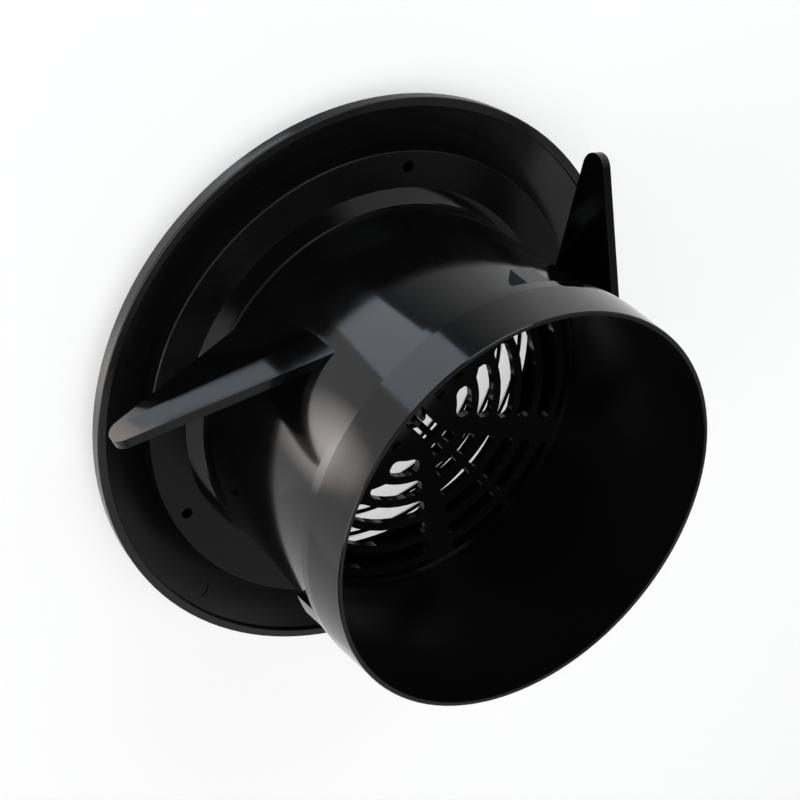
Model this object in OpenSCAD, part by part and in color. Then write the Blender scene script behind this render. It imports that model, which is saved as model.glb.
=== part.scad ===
// Round soffit vent with a duct collar.
// It rests on its front side: z = 0 is the flat border that faces down from the soffit,
// and +Z runs up the collar towards the duct. The origin is the centre of that border.
// All lengths are in millimetres and all angles in degrees.

/* [Flange] */
// outside diameter of the flange
flange_dia = 152; // [144:1:180]
// thickness of the flange where its slope starts
face_thickness = 1.6; // [1.2:0.1:2.4]
// width of the flat border on the front of the flange
front_flat = 1.8; // [1:0.1:3]
// height of the rim's front edge over the flat border
rim_front = 6.2; // [4:0.1:7]
// height of the rim's outer wall
rim_height = 3.3; // [2.4:0.1:5]
// width of the rim's top
rim_width = 2.3; // [1.4:0.1:4]
// height of the rim's inner wall, over the sloping flange
rim_step = 1.6; // [0.8:0.1:2.2]
// rounding of the edges that a hand meets
edge_round = 0.35; // [0.2:0.05:0.6]
// diameter of the round ejector mark on the slope
mark_dia = 6.1; // [4:0.1:7]
// depth of the ejector mark
mark_depth = 0.2; // [0.1:0.05:0.3]
// distance of the mark's centre from the rim's inner wall
mark_inset = 4.5; // [3.6:0.1:6]
// direction of the ejector mark
mark_angle = 230.5; // [0:0.5:359]

/* [Screw ring] */
// outside diameter of the raised ring that holds the screws
ring_dia = 124.6; // [122:0.2:130]
// height of the ring's flat top
ring_top = 7.5; // [6:0.1:10]
// thickness of the ring
ring_thickness = 1.6; // [1.2:0.1:2.4]
// thickness of the ring's outer wall
step_wall = 1.4; // [1:0.1:2]
// number of screw holes in the ring
screw_count = 3; // [2:1:6]
// distance of each screw hole's centre from the ring's outside
screw_inset = 3.95; // [3.6:0.05:5]
// diameter of each screw hole
screw_dia = 2.9; // [2:0.1:4.5]
// direction of the first screw hole
screw_angle = 90; // [0:1:120]

/* [Collar] */
// outside diameter of the neck
neck_dia = 99.6; // [94:0.2:101]
// wall of the neck
neck_wall = 1.5; // [1.2:0.1:2.5]
// distance that the gusset at the neck's foot stands out from the neck
gusset_width = 3.35; // [2:0.05:4]
// slope of the gusset's face
gusset_angle = 51.2; // [40:0.1:60]
// fillet between the gusset and the neck
gusset_fillet = 3.2; // [1:0.1:5]
// height of the whole vent
height = 77; // [72:1:110]
// length of the tapered band at the mouth
band_length = 14.7; // [10:0.1:18]
// distance that the band's back edge stands out from the neck
band_step = 1.3; // [0.8:0.05:2]
// length of the straight land at the band's back edge, before the taper
band_land = 3; // [1:0.1:6]
// drop in radius from the band's land to the mouth
band_drop = 0.95; // [0.2:0.05:1.2]
// wall of the band at the mouth
mouth_wall = 1.1; // [0.9:0.05:1.6]
// length of the slot in the band, round the collar
band_slot_length = 7; // [4:0.5:12]
// width of that slot, along the collar
band_slot_width = 2.2; // [1.2:0.1:3.5]
// distance of the slot's centre from the band's back edge
band_slot_inset = 2.2; // [2:0.1:6]
// direction of the slot
band_slot_angle = 81.5; // [0:0.5:359]

/* [Stop blocks] */
// number of stop blocks below the band
block_count = 3; // [2:1:6]
// width of each stop block, round the collar
block_width = 6; // [3:0.1:12]
// length of each stop block, along the collar
block_length = 6.4; // [4:0.1:10]

/* [Wings] */
// number of wings
wing_count = 3; // [2:1:4]
// direction that the first wing's outer face looks
wing_angle = 122.4; // [100:0.1:150]
// distance of a wing's outer face inside the neck's surface, at the point nearest the axis
wing_inset = 2.5; // [1.5:0.1:5]
// thickness of a wing
wing_thickness = 2.4; // [1.6:0.1:3.5]
// reach of a wing's tip, measured along the wing from the point nearest the axis
wing_reach = 64.1; // [56:0.1:68]
// height of the wing's upper edge, carried on to the point nearest the axis
wing_top = 52.5; // [48:0.1:56]
// angle of that upper edge below the horizontal
wing_top_angle = 21.2; // [16:0.1:23]
// height of the bend in the wing, carried on to the point nearest the axis
wing_bend = 42.9; // [38:0.1:46]
// angle of the bend line below the horizontal
wing_bend_angle = 19.2; // [12:0.1:21]
// height of the wing's lower edge, carried on to the point nearest the axis
wing_low = 13.1; // [12:0.1:18]
// angle of the lower edge above the horizontal
wing_low_angle = 7.5; // [2:0.1:9]
// lean of the wing's outer face below the bend, towards the collar
wing_lean = 4; // [0:0.5:5]

/* [Guard grille] */
// height of the grille's upper surface, inside the collar
grille_height = 26.8; // [18:0.1:34]
// thickness of the grille
grille_thickness = 2; // [1.4:0.1:3]
// direction of the grille's wide bar
bar_angle = 48.5; // [0:0.5:180]
// width of the wide bar
bar_width = 10; // [6:0.1:12]
// width of the two thin spokes
thin_spoke_width = 1.8; // [1:0.1:3]
// diameter of the solid hub, up to the first side slots
hub_dia = 24.6; // [22:0.2:28]
// number of rings of slots
slot_rings = 6; // [4:1:6]
// width of each side slot
slot_width = 4.4; // [2:0.1:5]
// width of the side slots in the outermost ring
last_slot_width = 1.7; // [1.4:0.05:3]
// rim that the outermost slots leave along the wall
wall_rim = 0.8; // [0.5:0.1:2]
// angle that the side slots cover, from the bar's centre line
side_span = 57.6; // [50:0.1:60]
// distance of a side slot's far end from that angle's line
side_margin = 0.4; // [0.2:0.1:1]
// angle that the middle slots cover, from the thin spoke's centre line
middle_span = 27; // [24:0.5:28]
// distance of a middle slot's far end from that angle's line
middle_margin = 2.5; // [1:0.1:3]
// width of each middle slot
middle_slot_width = 3.5; // [2:0.1:4.5]
// distance that the middle slots lie nearer to the axis than the side slots
middle_shift = 1.3; // [0.5:0.1:2]
// corner radius of the middle slots
slot_corner = 0.8; // [0.4:0.1:1]
// length of the latch pocket in the hub
pocket_length = 18; // [10:0.1:19]
// width of the latch pocket
pocket_width = 4.9; // [3.8:0.1:6]
// distance of the two inner marks on the bar from the axis
mark_near = 8.4; // [7:0.1:10]
// distance of the outer mark on the bar from the axis
mark_far = 15; // [13:0.1:24]
// size of each of those marks across the bar
bar_mark_length = 4.4; // [2:0.1:5]
// size of each of those marks along the bar
bar_mark_width = 2.4; // [1:0.1:4]
// depth of those marks
bar_mark_depth = 0.8; // [0.3:0.1:1.2]

/* [Front louvre] */
// gap round the louvre where it sits in the flange
louvre_clearance = 0.3; // [0.1:0.05:0.6]
// thickness of a blade
blade_thickness = 1; // [0.8:0.1:1.4]
// angle of a blade below the horizontal, as it flares out to the front
blade_angle = 49; // [45:0.5:70]
// width of the ribs that carry the blades
rib_width = 2; // [1.4:0.1:3]
// number of ribs
rib_count = 4; // [3:1:8]
// distance that the ribs stay back from the blades' upper and lower edges
rib_inset = 0.5; // [0.3:0.1:1]
// width of the border round the louvre's front
border_width = 3.4; // [2:0.1:3.6]
// thickness of the border and of the hub's plate
plate_thickness = 1.6; // [1:0.1:2.4]
// distance from the bore to the frame's seat on the ledge
seat_offset = 3.8; // [2.6:0.1:4.4]
// width of the frame's seat
seat_width = 2.1; // [1.4:0.1:2.6]
// gap on each side of the latch in its pocket
latch_clearance = 0.4; // [0.2:0.1:0.6]
// thickness of the latch
latch_thickness = 2; // [1.2:0.1:4]
// slit that lets the latch's two prongs spring
latch_slit = 0.8; // [0.5:0.1:1.2]
// reach of each prong's hook over the pocket's edge
latch_hook = 0.7; // [0.4:0.1:1]

/* [Hidden] */
$fn = 96;
small_fn = 24;

flange_r = flange_dia / 2;
rim_back = rim_front + rim_height;
slope_r = flange_r - rim_width;
slope_z = rim_back - rim_step;
ring_r = ring_dia / 2;
slope_angle = atan((slope_z - face_thickness) / (slope_r - ring_r));

neck_r = neck_dia / 2;
bore_r = neck_r - neck_wall;
band_r = neck_r + band_step;
mouth_r = band_r - band_drop;
mouth_in = mouth_r - mouth_wall;
band_z = height - band_length;
band_taper = band_drop / (band_length - band_land);
edge = 0.2;

// the gusset's face, where it would meet the neck, and the fillet between them
gusset_r = neck_r + gusset_width;
corner_z = ring_top + gusset_width * tan(gusset_angle);
fillet_r = neck_r + gusset_fillet;
fillet_z = corner_z + gusset_fillet * tan((90 - gusset_angle) / 2);

// hollow of the flange on its front side
recess_r = ring_r - step_wall;
ledge_z = ring_top - ring_thickness;
bore_chamfer = 1.1;

wing_x = neck_r - wing_inset;
wing_pitch = 360 / wing_count;

hub_r = hub_dia / 2;
last_inner = bore_r - wall_rim - last_slot_width;
slot_pitch = (last_inner - hub_r) / (slot_rings - 1);

function arc(cx, cz, r, a0, a1, n) =
    [for (i = [0:n]) [cx + r * cos(a0 + (a1 - a0) * i / n), cz + r * sin(a0 + (a1 - a0) * i / n)]];

// half section of the flange, the screw ring, the neck and the band
function shell_profile() = concat(
    [[recess_r, 0], [recess_r + front_flat, 0], [flange_r, rim_front]],
    arc(flange_r - edge_round, rim_back - edge_round, edge_round, 0, 90, 3),
    arc(slope_r + edge_round, rim_back - edge_round, edge_round, 90, 180, 3),
    [[slope_r, slope_z], [ring_r, face_thickness]],
    arc(ring_r - edge_round, ring_top - edge_round, edge_round, 0, 90, 3),
    [[gusset_r, ring_top]],
    arc(fillet_r, fillet_z, gusset_fillet, 270 - gusset_angle, 180, 5),
    [[neck_r, band_z], [band_r - edge, band_z], [band_r, band_z + edge], [band_r, band_z + band_land]],
    [[mouth_r, height - edge], [mouth_r - edge, height], [mouth_in + edge, height]],
    [[mouth_in, height - edge], [bore_r, band_z - band_length / 2]],
    [[bore_r, ledge_z + bore_chamfer], [bore_r + bore_chamfer, ledge_z], [recess_r, ledge_z]]
);

module shell() {
    rotate_extrude()
        polygon(shell_profile());
}

// shallow round mark, square to the slope
module ejector_mark() {
    mark_r = slope_r - mark_inset;
    mark_z = slope_z - mark_inset * tan(slope_angle);
    rotate(mark_angle)
        translate([mark_r, 0, mark_z])
            rotate([0, -slope_angle, 0])
                translate([0, 0, -mark_depth])
                    cylinder(d = mark_dia, h = mark_depth + 2, $fn = 48);
}

// plate of one wing, drawn from the point nearest the axis outward and up
module wing_plate() {
    half = (wing_top_angle + wing_low_angle) / 2;
    tilt = (wing_top_angle - wing_low_angle) / 2;
    // where the upper and lower edges would cross, and the round tip between them
    apex_s = (wing_top - wing_low) / (tan(wing_top_angle) + tan(wing_low_angle));
    apex_z = wing_low + apex_s * tan(wing_low_angle);
    back = (apex_s - wing_reach) / (cos(tilt) - sin(half));
    tip = arc(
        apex_s - back * cos(tilt), apex_z + back * sin(tilt), back * sin(half),
        90 - wing_top_angle, -90 + wing_low_angle, 10
    );
    translate([wing_x, 0, 0])
        rotate([90, 0, -90])
            mirror([1, 0, 0])
                linear_extrude(wing_thickness)
                    polygon(concat([[0, wing_low], [0, wing_top]], tip));
}

// takes the outer face back below the bend line
module wing_cutter() {
    translate([wing_x, 0, wing_bend])
        rotate([-wing_bend_angle, 0, 0])
            rotate([0, wing_lean, 0])
                translate([0, -10, -60])
                    cube([20, 110, 60]);
}

module wings() {
    for (i = [0:wing_count - 1])
        rotate(wing_angle + i * wing_pitch)
            difference() {
                wing_plate();
                wing_cutter();
            }
}

// blocks that carry the band's taper on, below its back edge
module stop_blocks() {
    low = band_z - block_length;
    low_r = band_r + block_length * band_taper;
    angle = block_width / band_r * 180 / PI;
    for (i = [0:block_count - 1])
        rotate(screw_angle + i * 360 / block_count - angle / 2)
            rotate_extrude(angle = angle)
                polygon([
                    [bore_r + 0.5, low],
                    [low_r - edge, low],
                    [low_r, low + edge],
                    [band_r, band_z + edge],
                    [bore_r + 0.5, band_z + edge]
                ]);
}

module screw_holes() {
    for (i = [0:screw_count - 1])
        rotate(screw_angle + i * 360 / screw_count)
            translate([ring_r - screw_inset, 0, ledge_z - 1])
                cylinder(d = screw_dia, h = ring_thickness + 2, $fn = small_fn);
}

module band_slot() {
    rotate(band_slot_angle)
        translate([bore_r - 2, 0, band_z + band_slot_inset])
            rotate([0, 90, 0])
                linear_extrude(8) {
                    square([band_slot_width, band_slot_length - band_slot_width], center = true);
                    for (side = [-1, 1])
                        translate([0, side * (band_slot_length - band_slot_width) / 2])
                            circle(d = band_slot_width, $fn = 16);
                }
}

// one curved slot between two radial lines, each of its ends held off its line by a margin
module arc_slot(inner, width, corner, from, to, margin_from, margin_to) {
    low = inner + corner;
    high = inner + width - corner;
    from_low = from + asin((margin_from + corner) / low);
    from_high = from + asin((margin_from + corner) / high);
    to_low = to - asin((margin_to + corner) / low);
    to_high = to - asin((margin_to + corner) / high);
    steps = max(2, ceil((to_high - from_high) / 7));
    step_low = (to_low - from_low) / steps;
    step_high = (to_high - from_high) / steps;
    if (to_low > from_low)
        polygon(concat(
            arc(high * cos(from_high), high * sin(from_high), corner, from - 90, from_high, 3),
            [for (i = [1:steps - 1]) let (a = from_high + i * step_high) (high + corner) * [cos(a), sin(a)]],
            arc(high * cos(to_high), high * sin(to_high), corner, to_high, to + 90, 3),
            arc(low * cos(to_low), low * sin(to_low), corner, to + 90, to_low + 180, 3),
            [for (i = [steps - 1:-1:1]) let (a = from_low + i * step_low) inner * [cos(a), sin(a)]],
            arc(low * cos(from_low), low * sin(from_low), corner, from_low + 180, from + 270, 3)
        ));
}

// every slot of the grille: round-ended side slots next to the wide bar, which runs both ways,
// and middle slots with small corners on both sides of the thin spokes
module grille_slots() {
    for (ring = [0:slot_rings - 1], start = [bar_angle, bar_angle + 180]) {
        last = ring == slot_rings - 1;
        inner = hub_r + ring * slot_pitch;
        width = last ? last_slot_width : slot_width;
        end = (width - edge) / 2;
        arc_slot(inner, width, end, start, start + side_span, bar_width / 2, side_margin);
        arc_slot(inner, width, end, start + 180 - side_span, start + 180, side_margin, bar_width / 2);
        near = inner - middle_shift;
        size = last ? last_slot_width + middle_shift : middle_slot_width;
        mid = start + 90;
        arc_slot(near, size, slot_corner, mid - middle_span, mid, middle_margin, thin_spoke_width / 2);
        arc_slot(near, size, slot_corner, mid, mid + middle_span, thin_spoke_width / 2, middle_margin);
    }
}

module guard_grille() {
    difference() {
        translate([0, 0, grille_height - grille_thickness])
            difference() {
                cylinder(r = bore_r + neck_wall / 2, h = grille_thickness);
                translate([0, 0, -1])
                    linear_extrude(grille_thickness + 2) {
                        grille_slots();
                        rotate(bar_angle)
                            square([pocket_width, pocket_length], center = true);
                    }
            }
        // shallow marks on the bar
        for (x = [mark_near, mark_far, -mark_near])
            rotate(bar_angle)
                translate([x, 0, grille_height])
                    cube([bar_mark_width, bar_mark_length, 2 * bar_mark_depth], center = true);
    }
}

module vent_body() {
    color([0.05, 0.05, 0.055])
        union() {
            difference() {
                union() {
                    shell();
                    difference() {
                        union() {
                            wings();
                            stop_blocks();
                        }
                        cylinder(r = bore_r + neck_wall / 2, h = height);
                    }
                }
                screw_holes();
                ejector_mark();
                band_slot();
            }
            guard_grille();
        }
}

// one blade of the louvre: a thin cone that flares out to the front
module blade(top_r) {
    run = ledge_z / tan(blade_angle);
    across = blade_thickness / sin(blade_angle);
    rotate_extrude()
        polygon([
            [top_r + run, 0],
            [top_r + run + across, 0],
            [top_r + across, ledge_z],
            [top_r, ledge_z]
        ]);
}

// ring whose top seats on the ledge in the flange, with a flat border on the front
module louvre_frame(seat_r, outer_r) {
    border_r = outer_r - border_width;
    lean = (seat_r - border_r) / ledge_z;
    rotate_extrude()
        polygon([
            [border_r, 0],
            [outer_r - edge, 0],
            [outer_r, edge],
            [outer_r, plate_thickness],
            [border_r + seat_width + lean * plate_thickness, plate_thickness],
            [seat_r + seat_width, ledge_z],
            [seat_r, ledge_z]
        ]);
}

// ribs that run from the hub to the frame, under the grille's bar and thin spokes
module louvre_ribs(seat_r, outer_r) {
    low = rib_inset;
    high = ledge_z - rib_inset;
    start = hub_r + blade_thickness / 2;
    end = seat_r + seat_width / 2;
    lean = (outer_r - border_width - seat_r) / ledge_z;
    for (i = [0:rib_count - 1])
        rotate(bar_angle + i * 360 / rib_count)
            rotate([90, 0, 0])
                translate([0, 0, -rib_width / 2])
                    linear_extrude(rib_width)
                        polygon([
                            [start + (ledge_z - low) / tan(blade_angle), low],
                            [end + (ledge_z - low) * lean, low],
                            [end + (ledge_z - high) * lean, high],
                            [start + (ledge_z - high) / tan(blade_angle), high]
                        ]);
}

// the latch stands on the louvre's hub, and its two hooks rest on the grille's hub
module latch() {
    body = pocket_width / 2 - latch_clearance;
    hook = pocket_width / 2 + latch_hook;
    foot = plate_thickness;
    rotate(bar_angle)
        rotate([90, 0, 0])
            translate([0, 0, -latch_thickness / 2])
                linear_extrude(latch_thickness)
                    difference() {
                        polygon([
                            [-body - 2, foot - 0.5],
                            [body + 2, foot - 0.5],
                            [body, foot + 4],
                            [body, grille_height],
                            [hook, grille_height],
                            [body - 0.6, grille_height + 1.8],
                            [-body + 0.6, grille_height + 1.8],
                            [-hook, grille_height],
                            [-body, grille_height],
                            [-body, foot + 4]
                        ]);
                        translate([-latch_slit / 2, foot + 8])
                            square([latch_slit, grille_height]);
                    }
}

module front_louvre() {
    outer_r = recess_r - louvre_clearance;
    seat_r = bore_r + seat_offset;
    color([0.05, 0.05, 0.055])
        union() {
            cylinder(r = hub_r + ledge_z / tan(blade_angle) + blade_thickness / 2, h = plate_thickness);
            for (ring = [0:slot_rings - 1])
                blade(hub_r + ring * slot_pitch);
            louvre_frame(seat_r, outer_r);
            louvre_ribs(seat_r, outer_r);
            latch();
        }
}

vent_body();
front_louvre();
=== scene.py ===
import math

import bpy
from mathutils import Matrix, Vector

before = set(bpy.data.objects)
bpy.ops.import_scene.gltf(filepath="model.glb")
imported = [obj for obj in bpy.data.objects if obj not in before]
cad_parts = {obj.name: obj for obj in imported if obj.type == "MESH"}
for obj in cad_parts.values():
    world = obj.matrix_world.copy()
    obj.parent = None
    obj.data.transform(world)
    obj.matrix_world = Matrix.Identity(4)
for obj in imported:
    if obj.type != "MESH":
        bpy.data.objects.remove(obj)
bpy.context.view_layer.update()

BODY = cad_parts["vent_body"]
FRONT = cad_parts["front_louvre"]

# the black of both mouldings, its roughness and its specular level
BLACK = (0.0024, 0.0024, 0.0026)
ROUGH = 0.10
SHINE = 0.38

# where the body's finish, its painted reflection and its painted shade change, in metres from its
# axis and up from the floor
BORE_RADIUS = 0.0492
BORE_FROM = 0.0275
FLANGE_RADIUS = 0.0531
SLOPE_RADIUS = 0.0622
FLANGE_TOP = 0.0098

# dim studio with soft-edged panels: azimuth, elevation, full and faded half width in degrees, level
PANELS = (
    (356, 24, 20, 36, 0.45),
    (286, 36, 20, 38, 0.50),
    (56, 12, 20, 40, 0.60),
    (187, 27, 16, 30, 0.90),
    (140, 46, 6, 18, 0.30),
)
STUDIO_LEVEL = 0.02

# how a painted light sheet's glow fades across it: location and scale of its gradient
FADES = {
    "SPHERICAL": ((-1, -1, 0), (2, 2, 0)),
    "LINEAR": ((1.25, 0, 0), (-1.25, 0, 0)),
}


# helpers
def new_material(name):
    mat = bpy.data.materials.new(name)
    mat.use_nodes = True
    mat.node_tree.nodes.clear()
    return mat, mat.node_tree.nodes, mat.node_tree.links


def new_object(name, data, place=(0, 0, 0)):
    obj = bpy.data.objects.new(name, data)
    obj.location = place
    bpy.context.scene.collection.objects.link(obj)
    return obj


def node(nodes, kind, **values):
    n = nodes.new(kind)
    for key, value in values.items():
        if hasattr(n, key):
            setattr(n, key, value)
        else:
            n.inputs[key].default_value = value
    return n


def ramp(nodes, low, high):
    n = nodes.new("ShaderNodeValToRGB")
    for element, (pos, color) in zip(n.color_ramp.elements, (low, high)):
        element.position = pos
        element.color = (*color, 1)
    return n


def calculator(nodes, links):
    def calc(operation, a, b=None):
        n = node(nodes, "ShaderNodeMath", operation=operation)
        for i, v in enumerate((a, b)):
            if isinstance(v, (int, float)):
                n.inputs[i].default_value = v
            elif v is not None:
                links.new(v, n.inputs[i])
        return n.outputs[0]

    return calc


# masks over the body: inside the collar, on the flange, and on the flange's slope
def finish_and_painted_light_zones(nodes, links, coord):
    calc = calculator(nodes, links)
    split = nodes.new("ShaderNodeSeparateXYZ")
    links.new(coord, split.inputs[0])
    x, y, z = split.outputs
    radius = calc("SQRT", calc("ADD", calc("MULTIPLY", x, x), calc("MULTIPLY", y, y)))
    inside = calc("MULTIPLY", calc("LESS_THAN", radius, BORE_RADIUS),
                  calc("GREATER_THAN", z, BORE_FROM))
    flange = calc("MULTIPLY", calc("GREATER_THAN", radius, FLANGE_RADIUS),
                  calc("LESS_THAN", z, FLANGE_TOP))
    slope = calc("MULTIPLY", flange, calc("GREATER_THAN", radius, SLOPE_RADIUS))
    return inside, flange, slope


# gloss black plastic, with slow waves in its skin and faint rubbed patches
def moulded_plastic(name, wave, body=False):
    mat, nodes, links = new_material(name)
    calc = calculator(nodes, links)
    out = nodes.new("ShaderNodeOutputMaterial")
    bsdf = nodes.new("ShaderNodeBsdfPrincipled")
    links.new(bsdf.outputs[0], out.inputs[0])
    bsdf.inputs["IOR"].default_value = 1.5
    bsdf.inputs["Specular IOR Level"].default_value = SHINE
    coord = nodes.new("ShaderNodeTexCoord").outputs["Object"]

    def noise(scale, detail, roughness):
        n = node(nodes, "ShaderNodeTexNoise", Scale=scale, Detail=detail, Roughness=roughness)
        links.new(coord, n.inputs["Vector"])
        return n.outputs["Fac"]

    # slow drift of the black, as pigment streaks give
    tone = ramp(nodes, (0.3, [c * 0.8 for c in BLACK]), (0.7, [c * 1.25 for c in BLACK]))
    links.new(noise(22.0, 4.0, 0.6), tone.inputs["Fac"])
    links.new(tone.outputs["Color"], bsdf.inputs["Base Color"])

    # gloss that dulls in patches
    haze = ramp(nodes, (0.35, [ROUGH * 0.8] * 3), (0.75, [ROUGH * 1.5] * 3))
    links.new(noise(60.0, 6.0, 0.65), haze.inputs["Fac"])
    rough = haze.outputs["Color"]
    if body:
        # the flange is a little softer than the collar and the wings; its slope gets a stronger
        # painted reflection than its raised ring, whose reflection is painted dimmer, and inside
        # the collar the gloss is rougher and dimmed by painted shade
        inside, flange, slope = finish_and_painted_light_zones(nodes, links, coord)
        rough = calc("ADD", rough, calc("ADD", calc("MULTIPLY", inside, 0.30),
                                        calc("MULTIPLY", flange, 0.17)))
        shine_with_painted_light = calc("SUBTRACT", calc("ADD", SHINE, calc("MULTIPLY", slope, 0.33)),
                     calc("ADD", calc("MULTIPLY", inside, 0.2), calc("MULTIPLY", flange, 0.12)))
        links.new(shine_with_painted_light, bsdf.inputs["Specular IOR Level"])
    links.new(rough, bsdf.inputs["Roughness"])

    # moulded skin: slow waves and a very fine grain
    height = calc("ADD", calc("MULTIPLY", noise(45.0, 1.5, 0.4), wave),
                  calc("MULTIPLY", noise(1400.0, 2.0, 0.5), 0.006))
    bump = node(nodes, "ShaderNodeBump", Strength=0.5, Distance=0.0003)
    links.new(height, bump.inputs["Height"])
    links.new(bump.outputs["Normal"], bsdf.inputs["Normal"])
    return mat


def paint(obj, mat):
    if len(obj.material_slots) == 0:
        obj.data.materials.append(mat)
    for slot in obj.material_slots:
        slot.material = mat


paint(BODY, moulded_plastic("black_moulded_body", 0.4, body=True))
paint(FRONT, moulded_plastic("black_moulded_front", 0.5))


# camera at the viewing angle of the picture
def place_camera():
    data = bpy.data.cameras.new("camera")
    data.sensor_width = 36.0
    data.lens = 64.05
    data.clip_start = 0.01
    right = Vector((0.84160, 0.14084, 0.52150)).normalized()
    back = Vector((-0.52579, 0.43489, 0.73110)).normalized()
    up = back.cross(right).normalized()
    right = up.cross(back).normalized()
    pose = Matrix((right, up, back)).transposed().to_4x4()
    pose.translation = Vector((-0.18826, 0.15680, 0.28081))
    cam = new_object("camera", data)
    cam.matrix_world = pose
    bpy.context.scene.camera = cam


place_camera()


# pale paint, whose plain level is also seen in the gloss
def pale_paint():
    mat, nodes, links = new_material("floor_white")
    calc = calculator(nodes, links)
    out = nodes.new("ShaderNodeOutputMaterial")
    diff = node(nodes, "ShaderNodeBsdfDiffuse", Color=(0.5, 0.5, 0.5, 1))
    glow = node(nodes, "ShaderNodeEmission", Color=(1, 1, 1, 1), Strength=0.60)
    both = nodes.new("ShaderNodeAddShader")
    links.new(diff.outputs[0], both.inputs[0])
    links.new(glow.outputs[0], both.inputs[1])
    path = nodes.new("ShaderNodeLightPath").outputs
    seen = calc("MAXIMUM", path["Is Camera Ray"],
                calc("MAXIMUM", path["Is Glossy Ray"], path["Is Transmission Ray"]))
    mix = nodes.new("ShaderNodeMixShader")
    links.new(seen, mix.inputs[0])
    links.new(diff.outputs[0], mix.inputs[1])
    links.new(both.outputs[0], mix.inputs[2])
    links.new(mix.outputs[0], out.inputs[0])
    return mat


# floor, and a far curved backdrop on all sides but the camera's
def make_stage(half=12.0, radius=8.0, height=2.3, step=6, count=40):
    floor = bpy.data.meshes.new("floor")
    floor.from_pydata([(-half, -half, 0), (half, -half, 0), (half, half, 0), (-half, half, 0)],
                      [], [(0, 1, 2, 3)])
    wall = bpy.data.meshes.new("backdrop")
    arc = [math.radians(-156 + step * i) for i in range(count + 1)]
    wall.from_pydata([(radius * math.cos(a), radius * math.sin(a), z)
                      for z in (-0.01, height) for a in arc], [],
                     [(i, i + 1, i + count + 2, i + count + 1) for i in range(count)])
    mat = pale_paint()
    for mesh, drop in ((floor, -0.0002), (wall, 0.0)):
        new_object(mesh.name, mesh, (0, 0, drop))
        mesh.materials.append(mat)


make_stage()


# lamps
def area(name, pos, target, size, power, color=(1, 1, 1)):
    data = bpy.data.lights.new(name, "AREA")
    data.energy = power
    data.color = color
    data.size = size
    lamp = new_object(name, data, pos)
    lamp.rotation_euler = (Vector(target) - Vector(pos)).to_track_quat("-Z", "Y").to_euler()


# soft light from overhead, a cool and a warm one low down
area("top", (-0.30, 0.10, 1.6), (0, 0, 0), 1.4, 14.0)
area("cool", (0.1, 1.2, 0.95), (-0.05, 0.12, 0), 0.7, 4.0, (0.86, 0.94, 1.0))
area("warm", (-1.35, -0.35, 0.75), (-0.12, 0, 0), 0.7, 3.0, (1.0, 0.93, 0.85))


# low glowing sheet beside the flange, a painted reflection seen only in the gloss and only from
# above; the bright ones paint highlights, the dim ones paint shade
def painted_light_sheet(name, corners, color, strength, fade=None, lift=0.0008):
    turn = sum(a[0] * b[1] - b[0] * a[1] for a, b in zip(corners, corners[1:] + corners[:1]))
    corners = corners if turn > 0 else corners[::-1]
    mesh = bpy.data.meshes.new(name)
    mesh.from_pydata([(x, y, 0.0) for x, y in corners], [], [tuple(range(len(corners)))])
    obj = new_object(name, mesh, (0, 0, lift))
    obj.visible_camera = False
    obj.visible_shadow = False
    obj.visible_diffuse = False
    mat, nodes, links = new_material(name)
    calc = calculator(nodes, links)
    out = nodes.new("ShaderNodeOutputMaterial")
    glow = node(nodes, "ShaderNodeEmission", Color=(*color, 1), Strength=strength)
    clear = nodes.new("ShaderNodeBsdfTransparent")
    mix = nodes.new("ShaderNodeMixShader")
    links.new(clear.outputs[0], mix.inputs[1])
    links.new(glow.outputs[0], mix.inputs[2])
    geometry = nodes.new("ShaderNodeNewGeometry")
    share = calc("SUBTRACT", 1.0, geometry.outputs["Backfacing"])
    if fade:
        coord = nodes.new("ShaderNodeTexCoord")
        location, scale = FADES[fade]
        place = node(nodes, "ShaderNodeMapping", Location=location, Scale=scale)
        links.new(coord.outputs["Generated"], place.inputs["Vector"])
        spot = node(nodes, "ShaderNodeTexGradient", gradient_type=fade)
        links.new(place.outputs["Vector"], spot.inputs["Vector"])
        share = calc("MULTIPLY", share, spot.outputs["Fac"])
    links.new(share, mix.inputs[0])
    links.new(mix.outputs[0], out.inputs[0])
    mesh.materials.append(mat)
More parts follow.
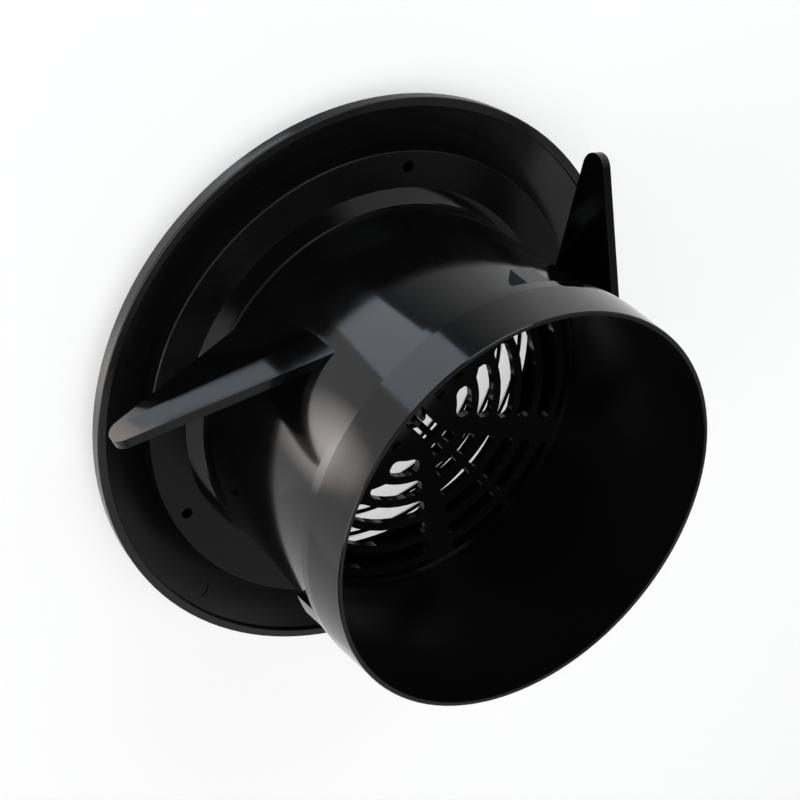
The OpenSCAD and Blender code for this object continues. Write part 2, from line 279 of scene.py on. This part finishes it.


# painted reflections: bright patch on the neck, warm patch below it, strip along the wing; and
# painted shade at two darker places in the gloss
painted_light_sheet("painted_reflection_cool", ((-0.034, 0.074), (-0.057, 0.060), (-0.128, 0.106), (-0.050, 0.160)),
     (0.86, 0.95, 1.06), 2.6)
painted_light_sheet("painted_reflection_warm", ((-0.150, -0.02), (-0.075, -0.02), (-0.075, 0.055), (-0.150, 0.055)),
     (1.06, 0.98, 0.93), 9.0, "SPHERICAL")
painted_light_sheet("painted_reflection_wing_strip", ((-0.0545, 0.0425), (-0.0563, 0.0490), (-0.0800, 0.0210), (-0.0790, 0.0160)),
     (0.86, 0.95, 1.06), 1.8, lift=0.0107)
# dim glowing sheets over the floor, hidden from the camera: painted shade seen in the gloss
painted_light_sheet("painted_shade_side", ((-0.112, -0.160), (-0.020, -0.160), (-0.020, -0.072), (-0.112, -0.010)),
     (1.0, 1.0, 1.0), 0.8)
painted_light_sheet("painted_shade_dim", ((-0.052, 0.066), (0.050, 0.066), (0.050, 0.210), (-0.052, 0.210)),
     (0.9, 0.95, 1.0), 0.22, "LINEAR", 0.0004)


def aim(azimuth, elevation):
    a, e = math.radians(azimuth), math.radians(elevation)
    return (math.cos(e) * math.cos(a), math.cos(e) * math.sin(a), math.sin(e))


def make_world():
    world = bpy.data.worlds.new("studio")
    bpy.context.scene.world = world
    world.use_nodes = True
    nodes, links = world.node_tree.nodes, world.node_tree.links
    calc = calculator(nodes, links)
    coord = nodes.new("ShaderNodeTexCoord")
    total = STUDIO_LEVEL
    for azimuth, elevation, full, faded, level in PANELS:
        dot = node(nodes, "ShaderNodeVectorMath", operation="DOT_PRODUCT")
        links.new(coord.outputs["Generated"], dot.inputs[0])
        dot.inputs[1].default_value = aim(azimuth, elevation)
        fade = node(nodes, "ShaderNodeMapRange", interpolation_type="SMOOTHSTEP")
        links.new(dot.outputs["Value"], fade.inputs["Value"])
        fade.inputs["From Min"].default_value = math.cos(math.radians(faded))
        fade.inputs["From Max"].default_value = math.cos(math.radians(full))
        fade.inputs["To Min"].default_value = 0.0
        fade.inputs["To Max"].default_value = level
        total = calc("ADD", total, fade.outputs["Result"])
    background = nodes["Background"].inputs
    links.new(total, background["Strength"])
    background["Color"].default_value = (0.98, 0.99, 1.0, 1)


make_world()

scene = bpy.context.scene
scene.view_settings.view_transform = "Standard"
